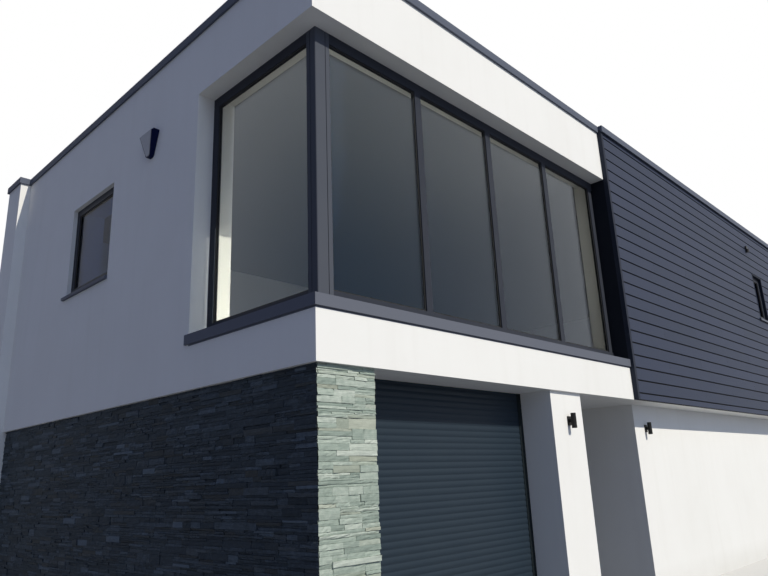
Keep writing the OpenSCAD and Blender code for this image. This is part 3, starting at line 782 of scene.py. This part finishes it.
@dataclass
class StoneFacing:
    """Strips of split stone on one wall, laid in half courses with stepped ends.

    A half course is cut into cells, each cell into one to four rows, and each row into strips.
    The sizes that end in sd are normal spreads of a strip's face: how far it stands out, how it
    leans along u and z, how rough it is, and how far its points stray in u and z.
    """

    name: str
    node: str
    wall: Wall
    length: float
    finish: Finish
    seed: int
    corner_at: End
    half_course: float = 0.075
    cell: float = 0.6
    cell_step: float = 0.31
    cell_play: float = 0.06
    course_play: float = 0.05
    strip_length: tuple[float, float] = (0.13, 0.34)
    shortest: float = 0.09
    thinnest: float = 0.008
    joint: float = 0.0014
    thickness: float = 0.048
    bed_t: float = 0.014
    ragged: float = 0.005
    contrast: float = 0.17
    fine: float = 0.1
    columns: int = 6
    lines: int = 3
    level_sd: float = 0.0028
    lean_u_sd: float = 0.0018
    lean_z_sd: float = 0.0012
    rough_sd: float = 0.0014
    edge_u_sd: float = 0.0006
    edge_z_sd: float = 0.0005
    inner_u_sd: float = 0.004
    edge_drop: float = 0.0015
    proud: float = 0.005
    proud_share: float = 0.12
    paler: float = 0.35
    pale_share: float = 0.07
    clear: float = 0.0005
    near: float = 0.001

    def strips(self) -> np.ndarray:
        """Lays out the strips; the heights of the rows in a cell add up to its height.

        Returns:
            Rows of u0, u1, z0 and z1.
        """
        rng = np.random.default_rng(self.seed)
        top = float(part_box(self.node)[1].z)
        splits = [(1.0,), (0.5, 0.5), (0.36, 0.64), (0.64, 0.36), (0.27, 0.73), (0.73, 0.27),
                  (0.3, 0.3, 0.4), (0.25, 0.45, 0.3), (0.22, 0.28, 0.2, 0.3)]
        odds = np.array([0.05, 0.16, 0.16, 0.16, 0.12, 0.12] + 3 * [self.fine])
        rows = []
        for course in range(int(np.ceil(top / self.half_course))):
            shift = (course % 4) * self.cell_step * self.cell \
                + rng.uniform(-self.course_play, self.course_play)
            marks = np.arange(-self.cell + shift, self.length + self.cell, self.cell)
            marks = marks + rng.uniform(-self.cell_play, self.cell_play, len(marks))
            marks = marks[(marks > self.shortest) & (marks < self.length - self.shortest)]
            marks = np.concatenate([[0], marks, [self.length]])
            for u0, u1 in zip(marks[:-1], marks[1:]):
                z1 = top - course * self.half_course
                for share in splits[rng.choice(len(splits), p=odds / odds.sum())]:
                    z0 = z1 - share * self.half_course
                    pieces = max(1, round((u1 - u0) / rng.uniform(*self.strip_length)))
                    widths = rng.uniform(0.5, 1.5, pieces)
                    cuts = u0 + (u1 - u0) * np.cumsum(np.concatenate([[0], widths])) / widths.sum()
                    rows += [(left, right, max(z0, 0.0), z1)
                             for left, right in zip(cuts[:-1], cuts[1:])]
                    z1 = z0
        laid = np.array(rows)
        return laid[laid[:, 3] - laid[:, 2] > self.thinnest]

    def reach(self, rects: np.ndarray) -> dict[End, np.ndarray]:
        """Tells for each end of the wall which strips reach it."""
        return {End.START: rects[:, 0] < self.near,
                End.STOP: rects[:, 1] > self.length - self.near}

    def faces(self, rects: np.ndarray, rng: np.random.Generator) -> np.ndarray:
        """Shapes the front of each strip, a grid of 3 lines of 6 points.

        Out is the strip's own level plus a lean and a roughness, less a drop along its edges;
        u and z are the grid's, with an outline that strays a little.  The strips' ends at the
        ends of the wall are ragged.

        Args:
            rects: Rows of u0, u1, z0 and z1.
            rng: Where the random draws come from.

        Returns:
            For each strip its points (u, z, out), in a grid.
        """
        n = len(rects)
        s, t = np.meshgrid(np.linspace(0, 1, self.columns), np.linspace(0, 1, self.lines))
        inner = ((s > 0) & (s < 1) & (t > 0) & (t < 1)).astype(float)
        u0, u1, z0, z1 = (column[:, None, None] for column in rects.T)
        gap = self.joint / 2
        u = u0 + gap + (u1 - u0 - 2 * gap) * s
        z = z0 + gap + (z1 - z0 - 2 * gap) * t
        level = rng.normal(0, self.level_sd, (n, 1, 1)) \
            + self.proud * (rng.random((n, 1, 1)) < self.proud_share)
        lean = rng.normal(0, self.lean_u_sd, (n, 1, 1)) * (2 * s - 1) \
            + rng.normal(0, self.lean_z_sd, (n, 1, 1)) * (2 * t - 1)
        out = level + lean + rng.normal(0, self.rough_sd, u.shape) - self.edge_drop * (1 - inner)
        u = u + rng.normal(0, self.edge_u_sd, u.shape) * (1 - inner) \
            + rng.normal(0, self.inner_u_sd, u.shape) * inner
        z = z + rng.normal(0, self.edge_z_sd, z.shape) * (1 - inner)
        ragged = rng.uniform(-self.ragged, self.ragged, (n, 1, 1))
        at_end = np.zeros(u.shape)
        for end, reached in self.reach(rects).items():
            at_end[reached, :, end.value[0]] = 1
        return rows_of(u + ragged * at_end, np.clip(z, self.clear, None), out)

    def build(self) -> None:
        """Builds the strips that stand for the plain facing, each with its tone, on their bed.

        A ring of points behind a strip's outline gives its sides, and its end at the corner of
        the house is mitred.
        """
        rects = self.strips()
        rng = np.random.default_rng(self.seed + 1)
        n = len(rects)
        face = self.faces(rects, rng).reshape(n, -1, 3)
        grid = np.arange(face.shape[1]).reshape(self.lines, self.columns)
        rim = np.concatenate([grid[0, :-1], grid[:-1, -1], grid[-1, :0:-1], grid[:0:-1, 0]])
        behind = face[:, rim].copy()
        behind[..., 2] = self.clear - self.thickness
        column, way = self.corner_at.value
        corner = self.reach(rects)[self.corner_at][:, None] & np.isin(rim, grid[:, column])
        behind[..., 0] += way * self.thickness * corner
        local = np.concatenate([face, behind], 1)
        back = grid.size + np.arange(len(rim))
        ring = rows_of(rim, back, np.roll(back, -1), np.roll(rim, -1))
        one = np.concatenate([grid_faces(grid.shape, (False, False)), ring])
        tone = np.clip(rng.normal(0.5, self.contrast, n)
                       + self.paler * (rng.random(n) < self.pale_share), 0, 1)
        marks = {"tone": np.repeat(tone, len(one)), "hue": np.repeat(rng.random(n), len(one))}
        Surface(self.wall.place(local), repeated(one, n, local.shape[1]), marks).piece(
            self.name, self.finish, "split_stone", (self.node,))
        # The adhesive behind the strips is seen only through the joints, as painted shade
        top = float(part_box(self.node)[1].z)
        ends = np.array([0.0, self.length])
        ends[column] += way * self.thickness
        block = np.array([[*ends, 0.0, top, -self.thickness, -self.thickness + self.bed_t]])
        self.wall.blocks(block).piece(f"{self.name}_bed", ADHESIVE_PAINTED_SHADE, "split_stone")


@dataclass
class BoardCladding:
    """Horizontal boards with open joints on one wall of the clad volume.

    The boards stand on their cavity, whose middle joint is at joint_z.  Their ends butt in
    steps of a third of the stock length from row to row.
    """

    name: str
    node: str
    wall: Wall
    length: float
    seed: int
    depth: float = 0.049
    pitch: float = 0.1565
    joint: float = 0.016
    joint_z: float = 4.578
    board_t: float = 0.015
    arris: float = 0.0025
    overlap: float = 0.004
    butt: float = 0.0012
    end_gap: float = 0.004
    foot_gap: float = 0.003
    head_gap: float = 0.014
    thinnest: float = 0.012
    sliver: float = 0.004
    shortest: float = 0.05
    stock: float = 3.6
    first_butt: float = 0.3
    last_gap: float = 0.3
    tones: tuple[float, float] = (0.35, 0.6)
    storey: float = 2.3
    window_t: float = 0.1
    set_back: tuple[float, float] = (-0.2, 0.05)
    skin: float = 0.0025
    flange: float = 0.022
    head_lap: float = 0.004
    sill_t: float = 0.009

    def openings(self) -> np.ndarray:
        """Finds the upstairs windows of this wall.

        Returns:
            Rows of u0, u1, z0 and z1.
        """
        found = []
        for solid in solids_of("window_frames"):
            low, high = self.wall.measure(solid)
            flat = high[2] - low[2] < self.window_t
            inside = low[0] > 0 and high[0] < self.length and low[1] > self.storey
            if flat and inside and self.set_back[0] < low[2] < self.set_back[1]:
                found.append((low[0], high[0], low[1], high[1]))
        return np.array(found).reshape(-1, 4)

    def parts(self, z0: float, z1: float, holes: np.ndarray) -> list[tuple[float, ...]]:
        """Cuts one band of the wall round the openings.

        Each opening that the band meets cuts what is left of it so far into what lies to its
        left, to its right, and under and over it.

        Args:
            z0: The band's lower edge.
            z1: Its upper edge.
            holes: The openings.

        Returns:
            Rows of u0, u1, z0 and z1 that fill the band and leave the openings free.
        """
        rest = [(0.0, self.length, z0, z1)]
        for u0, u1, foot, head in holes[(holes[:, 2] < z1) & (holes[:, 3] > z0)][::-1]:
            rest = [(a, b, c, d) for left, right, low, high in rest for a, b, c, d in (
                (left, min(right, u0), low, high),
                (max(left, u1), right, low, high),
                (max(left, u0), min(right, u1), low, min(high, foot)),
                (max(left, u0), min(right, u1), max(low, head), high))
                if a < b and c < d - self.sliver]
        return rest

    def build(self) -> None:
        """Builds the boards over a dark backing, and the trims of the openings in them.

        A board's section is a rectangle with two bevelled edges, carried along u between the
        butt joints.
        """
        low, high = edges_of(self.node)
        holes = self.openings()
        rng = np.random.default_rng(self.seed)
        first = int(np.floor((low[2] - self.joint_z) / self.pitch))
        last = int(np.ceil((high[2] - self.joint_z) / self.pitch))
        rows: list[tuple[float, ...]] = []
        tones: list[float] = []
        gap = self.butt / 2
        for index in range(first, last):
            foot = self.joint_z + index * self.pitch + self.joint / 2
            head = self.joint_z + (index + 1) * self.pitch - self.joint / 2
            foot, head = max(foot, low[2] + self.foot_gap), min(head, high[2] - self.head_gap)
            if head - foot < self.thinnest:
                continue
            butts = np.arange(self.stock * (self.first_butt + index % 3 / 3),
                              self.length - self.last_gap, self.stock)
            for left, right, z0, z1 in self.parts(foot, head, holes):
                inside = butts[(butts > left + self.shortest) & (butts < right - self.shortest)]
                cuts = np.concatenate([[left + self.end_gap], inside, [right - self.end_gap]])
                tones += list(rng.uniform(*self.tones, len(cuts) - 1))
                rows += [(u0 + gap, u1 - gap, z0, z1) for u0, u1 in zip(cuts[:-1], cuts[1:])]
        board = np.array(rows)
        back = self.depth - self.board_t
        z0, z1 = board[:, 2:].T
        rear, shoulder = back - self.overlap, self.depth - self.arris
        section = np.stack([
            rows_of(z0, rear), rows_of(z1, rear), rows_of(z1, shoulder),
            rows_of(z1 - self.arris, self.depth), rows_of(z0 + self.arris, self.depth),
            rows_of(z0, shoulder)], 1)
        laid = self.wall.prisms(section, board[:, :2])
        # Sides 0, 1 and 5 of a section lie in the joint; 2 to 4 are the face and its arrises
        # Faces marked 1 get the painted joint shade: near black, for the shade in the joints
        edge = np.array([1, 1, 0, 0, 0, 1, 1, 1, 1, 1])
        laid.marks = {"tone": np.repeat(tones, len(edge)), "edge": np.tile(edge, len(board))}
        laid.piece(self.name, BOARD, "board_cladding", (self.node,))
        cavity = np.array([(*part, 0.0, back) for part in self.parts(low[2], high[2], holes)])
        self.wall.blocks(cavity).piece(f"{self.name}_backing", CAVITY, "board_cladding")
        if len(holes):
            self.trims(holes)

    def trims(self, holes: np.ndarray) -> None:
        """Lines each opening with folded metal: two jambs and a head that runs past them.

        Args:
            holes: The openings.
        """
        u0, u1, z0, z1 = holes.T
        skin, flange, proud = self.skin, self.flange, self.depth + self.skin
        sill = z0 + self.sill_t
        bars = np.concatenate([
            rows_of(u0 - flange, u0, z0, z1, self.depth, proud),
            rows_of(u1, u1 + flange, z0, z1, self.depth, proud),
            rows_of(u0 - flange, u1 + flange, z1, z1 + flange, self.depth,
                    proud + self.head_lap),
            rows_of(u0, u0 + skin, sill, z1, 0.0, proud),
            rows_of(u1 - skin, u1, sill, z1, 0.0, proud),
            rows_of(u0 + skin, u1 - skin, z1 - skin, z1, 0.0, proud)])
        self.wall.blocks(bars).piece(f"{self.name}_trims", TRIM_COAT, "trim_metal")


@dataclass
class Glazing:
    """Rubber gaskets round every pane, on both faces of the glass."""

    grip: float = 0.015
    width: float = 0.012
    proud: float = 0.004
    sunk: float = 0.0005

    def build(self) -> None:
        """Lays a ring on each face of each pane, inside the edge that the frame hides."""
        found: dict[Side, list[tuple[float, ...]]] = {side: [] for side in Side}
        for node in ("corner_glass", "window_glass", "entrance_glass"):
            for low, high in solids_of(node):
                thin = int(np.argmin((high - low)[:2]))
                low_side, high_side = ((Side.LEFT, Side.RIGHT), (Side.FRONT, Side.REAR))[thin]
                side = low_side if low[thin] + high[thin] < 0 else high_side
                a, b = Wall(side).measure((low, high))
                found[side].append((a[0] + self.grip, b[0] - self.grip, a[1] + self.grip,
                                    b[1] - self.grip, a[2], b[2]))
        for side, panes in found.items():
            if panes:
                rects, (back, front) = np.array(panes)[:, :4], np.array(panes)[:, 4:].T
                depths = ((front - self.sunk, front + self.proud),
                          (back - self.proud, back + self.sunk))
                Surface.joined([Wall(side).rings(rects, self.width, *depth) for depth in depths]
                               ).piece(f"glazing_gaskets_{side.name.lower()}", RUBBER, "glazing")


@dataclass
class RoofFinish:
    """The membrane's welded laps and its upstands inside the parapets."""

    sheet: float = 1.05
    lap: float = 0.06
    narrowest: float = 0.2
    skin: float = 0.003
    under_coping: float = 0.02

    def build(self) -> None:
        """Lays the laps across the deck and lines the parapets up to the coping."""
        low, high = edges_of("roof_membrane")
        deck, skin = Wall(Side.FRONT), self.skin
        front, back, level = -low[1], -high[1], high[2]
        left = np.arange(low[0] + self.sheet, high[0] - self.narrowest, self.sheet)
        laps = rows_of(left, left + self.lap, level, level + skin, back + skin, front - skin)
        top = min(solid[0][2] for solid in solids_of("coping_clad")) + self.under_coping
        sides = np.array([(low[0], high[0], level, top, back, back + skin),
                          (low[0], high[0], level, top, front - skin, front),
                          (low[0], low[0] + skin, level, top, back, front),
                          (high[0] - skin, high[0], level, top, back, front)])
        deck.blocks(laps).piece("membrane_laps", MEMBRANE, "roof_covering")
        deck.blocks(sides).piece("membrane_upstands", MEMBRANE, "roof_covering")


@dataclass
class Fittings:
    """The lamp glasses of the wall lights and the lock of the entrance door."""

    glass_r: float = 0.0238
    glass_rim: float = 0.0025
    barrel_t: float = 0.0032
    well: float = 0.014
    lock_r: float = 0.026
    lock_z: float = 1.02

    @staticmethod
    def turned(profile: np.ndarray, centre: np.ndarray, steps: int, axis: int) -> Surface:
        """Turns a profile round an axis: (r cos a, r sin a, h), with the axis put in place.

        Args:
            profile: Points (r, h), from the low end round the outside to the high end.
            centre: Where r and h are 0.
            steps: How many steps the turn has.
            axis: 1 for the y axis, 2 for the z axis.

        Returns:
            The turned surface, closed where r is 0.
        """
        angle = np.linspace(0, 2 * np.pi, steps, endpoint=False)
        r, h = profile[:, :1], profile[:, 1:]
        points = np.roll(rows_of(r * np.cos(angle), r * np.sin(angle), h), axis - 2, -1)
        return Surface(points.reshape(-1, 3) + centre, grid_faces((len(profile), steps)))

    def build(self) -> None:
        """Sets a lens in each well of the lights and an escutcheon beside the pull handle."""
        r, rim = self.glass_r, self.glass_rim
        lens = np.array([(0.0, -0.003), (r, -0.003), (r, rim), (r - rim, 0.004),
                         (r * 0.6, 0.0055), (0.0, 0.006)])
        glasses = []
        for low, high in solids_of("wall_lights"):
            x, y = (low[0] + high[0]) / 2, low[1] + r + self.barrel_t
            glasses += [
                self.turned(lens, np.array([x, y, high[2] - self.well]), 32, 2),
                self.turned((lens * (1, -1))[::-1], np.array([x, y, low[2] + self.well]), 32, 2)]
        Surface.joined(glasses).piece("lamp_glasses", LAMP_GLASS, "light_metal", turned=True)
        low, high = edges_of("door_handle")
        face = edges_of("entrance_door")[0][1]
        q = self.lock_r
        plate = np.array([(0.0, -0.0085), (q * 0.32, -0.0085), (q * 0.34, -0.006),
                          (q * 0.9, -0.006), (q, -0.004), (q, 0.001), (0.0, 0.001)])
        self.turned(plate, np.array([(low[0] + high[0]) / 2, face, self.lock_z]), 40, 1).piece(
            "lock_escutcheon", STEEL, "handle_steel", turned=True)


@dataclass(frozen=True)
class Lamp:
    """A distant lamp: its strength, its turn and width in degrees, and its tint."""

    title: str
    strength: float
    turn: tuple[float, float, float]
    width: float
    tint: tuple[float, float, float]
    widest_mirrored: float = 5.0

    def place(self) -> None:
        """Adds the lamp to the scene."""
        data = bpy.data.lights.new(self.title, "SUN")
        data.energy = self.strength
        data.angle = radians(self.width)
        data.color = self.tint
        lamp = add(self.title, data)
        lamp.rotation_euler = [radians(value) for value in self.turn]
        # The wide disc of a soft lamp would show as a bright patch in the panes
        lamp.visible_glossy = self.width < self.widest_mirrored


@dataclass
class Studio:
    """The floor, the soft light and the camera, which looks up from close to the left corner."""

    ambient: float = 0.15
    sky_tint: tuple[float, float, float, float] = (0.5, 0.7, 1.42, 1.0)
    ground: StudioFloor = StudioFloor("studio_floor", "#6a6e75", 0.9)
    half_floor: float = 80.0
    lamps: tuple[Lamp, ...] = (
        Lamp("sun", 2.85, (50.1, 0.0, 7.0), 0.6, (1.11, 1.05, 0.92)),
        Lamp("front_fill", 0.6, (65.0, 0.0, 4.0), 70.0, (0.75, 0.9, 1.12)),
        Lamp("rear_fill", 1.2, (55.0, 0.0, 150.0), 70.0, (1.04, 1.0, 0.95)))
    sensor_mm: float = 36.0
    lens_mm: float = 31.259688
    farthest: float = 400.0
    eye: tuple[float, float, float] = (-9.59641981, -7.00642415, 1.5)
    aim: tuple[float, float, float] = (106.00537902714414, 2.2575969255548207,
                                       -45.5153626145256)

    def light(self) -> None:
        """Sets a white surround, a sun from the front and two broad soft lamps.

        The surround is white to the camera, in gloss and through glass, and a plain cool grey
        for what it lights, also where its light comes into the rooms through the glass.
        """
        world = bpy.data.worlds.new("studio")
        bpy.context.scene.world = world
        world.use_nodes = True
        tree = world.node_tree
        tree.nodes.clear()
        bounces = put(tree, "LightPath").outputs["Diffuse Depth"]
        direct = put(tree, "Math", bounces, 0.5, operation="LESS_THAN")
        white = put(tree, "Math", looked_at(tree), direct, operation="MULTIPLY")
        strength = put(tree, "MapRange", white, 0.0, 1.0, self.ambient, 1.0)
        colour = put(tree, "Mix", white, self.sky_tint, (1.0, 1.0, 1.0, 1.0), data_type="RGBA")
        put(tree, "OutputWorld", put(tree, "Background", colour, strength))
        for lamp in self.lamps:
            lamp.place()

    def floor(self) -> None:
        """Lays a level pale floor of 160 m, which keeps the shadow of the house."""
        corners = np.array([(-1, -1, 0), (1, -1, 0), (1, 1, 0), (-1, 1, 0)])
        floor = Surface(self.half_floor * corners, np.arange(4)[None]).added("floor", self.ground)

    def camera(self) -> None:
        """Stands the camera at eye height and aims it."""
        data = bpy.data.cameras.new("camera")
        data.sensor_width = self.sensor_mm
        data.lens = self.lens_mm
        data.clip_end = self.farthest
        camera = add("camera", data)
        camera.location = self.eye
        camera.rotation_euler = [radians(value) for value in self.aim]
        bpy.context.scene.camera = camera
        bpy.context.scene.view_settings.view_transform = "Standard"


def dress_nodes() -> None:
    """Gives every node of the model the finish of its slot."""
    for part in frame["record"]["subparts"]:
        node = frame["nodes"][part["node"]]
        finish = FINISH_OF.get(part["node"], FINISH_OF[part["material_slot"]])
        node.data.materials.clear()
        node.data.materials.append(finish.material())
        log.info("%s: %s", part["node"], finish.title)


def stone_facings() -> list[StoneFacing]:
    """Sets out the stone on the front and on the left face, which meet at the corner.

    Returns:
        The two facings.
    """
    low, high = edges_of("stone_facing_front")
    left_low, left_high = edges_of("stone_facing_left")
    return [
        StoneFacing("ledge_stone_front", "stone_facing_front",
                    Wall(Side.FRONT, (low[0], low[1])), high[0] - low[0], STONE_FRONT, 11,
                    End.START),
        # The left face's strips take the darker stone, partly painted shade
        StoneFacing("ledge_stone_left", "stone_facing_left",
                    Wall(Side.LEFT, (left_low[0], left_high[1])), left_high[1] - low[1],
                    STONE_LEFT_DARK_AND_SHADED, 23, End.STOP, contrast=0.13, fine=0.45)]


def board_claddings() -> list[BoardCladding]:
    """Sets out the boards on the three outer walls of the clad volume.

    Returns:
        The three claddings.
    """
    house = edges_of("upper_right_wall")[1][0]
    face_low, face_high = edges_of("cladding_front")
    side_low, side_high = edges_of("cladding_sides")
    back = side_high[1] - BoardCladding.depth
    return [
        BoardCladding("boards_front", "cladding_front",
                      Wall(Side.FRONT, (face_low[0], face_high[1])),
                      face_high[0] - face_low[0], 5),
        BoardCladding("boards_right", "cladding_sides", Wall(Side.RIGHT, (house, side_low[1])),
                      back - side_low[1], 6),
        BoardCladding("boards_rear", "cladding_sides", Wall(Side.REAR, (house, back)),
                      house - side_low[0], 7)]


def main() -> None:
    """Builds the studio and the house."""
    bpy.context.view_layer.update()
    studio = Studio()
    studio.camera()
    studio.light()
    studio.floor()
    dress_nodes()
    for part in (*stone_facings(), *board_claddings(), Glazing(), RoofFinish(), Fittings()):
        part.build()


if __name__ == "__main__":
    logging.basicConfig(level=logging.INFO, format="%(name)s: %(message)s")
    main()
